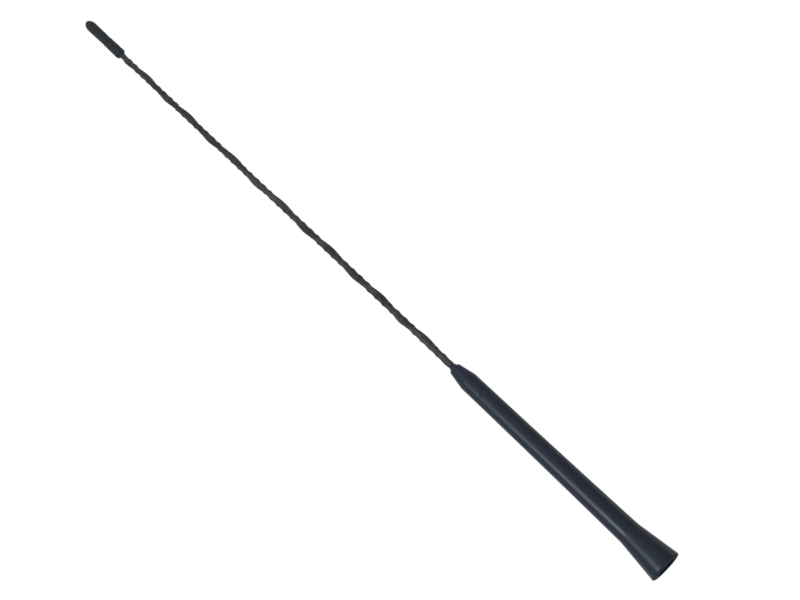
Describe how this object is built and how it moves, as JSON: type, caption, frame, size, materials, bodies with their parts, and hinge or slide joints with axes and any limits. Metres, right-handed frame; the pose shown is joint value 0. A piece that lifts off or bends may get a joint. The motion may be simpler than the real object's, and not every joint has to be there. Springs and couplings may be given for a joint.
{
  "type": "car mast aerial",
  "caption": "Straight car radio mast: a slim rippled whip with a coarse spiral ridge and a small end cap, set in a tapered grip with a flared, threaded foot.",
  "frame": {"origin": "centre of the foot's seat ring", "axes": "+Z along the mast towards its tip; the coarse ridge faces +X 15.4 mm above the grip and every 35.8 mm up from there"},
  "size_m": [0.0148, 0.0148, 0.41],
  "materials": {
    "cap_plastic": "fine matt moulded plastic, charcoal",
    "sleeve_plastic": "semi-matt shrink sleeve, dark grey",
    "glass_fibre": "pale resin-bonded glass fibre",
    "winding_copper": "enamelled copper wire",
    "grip_rubber": "satin moulded rubber, blue-black",
    "insert_brass": "turned"
  },
  "bodies": {
    "root": {"tip_cap": "cap_plastic", "rod_sleeve": "sleeve_plastic", "core_rod": "glass_fibre", "radiator_winding": "winding_copper", "grip": "grip_rubber", "threaded_insert": "insert_brass"}
  },
  "joints": []
}
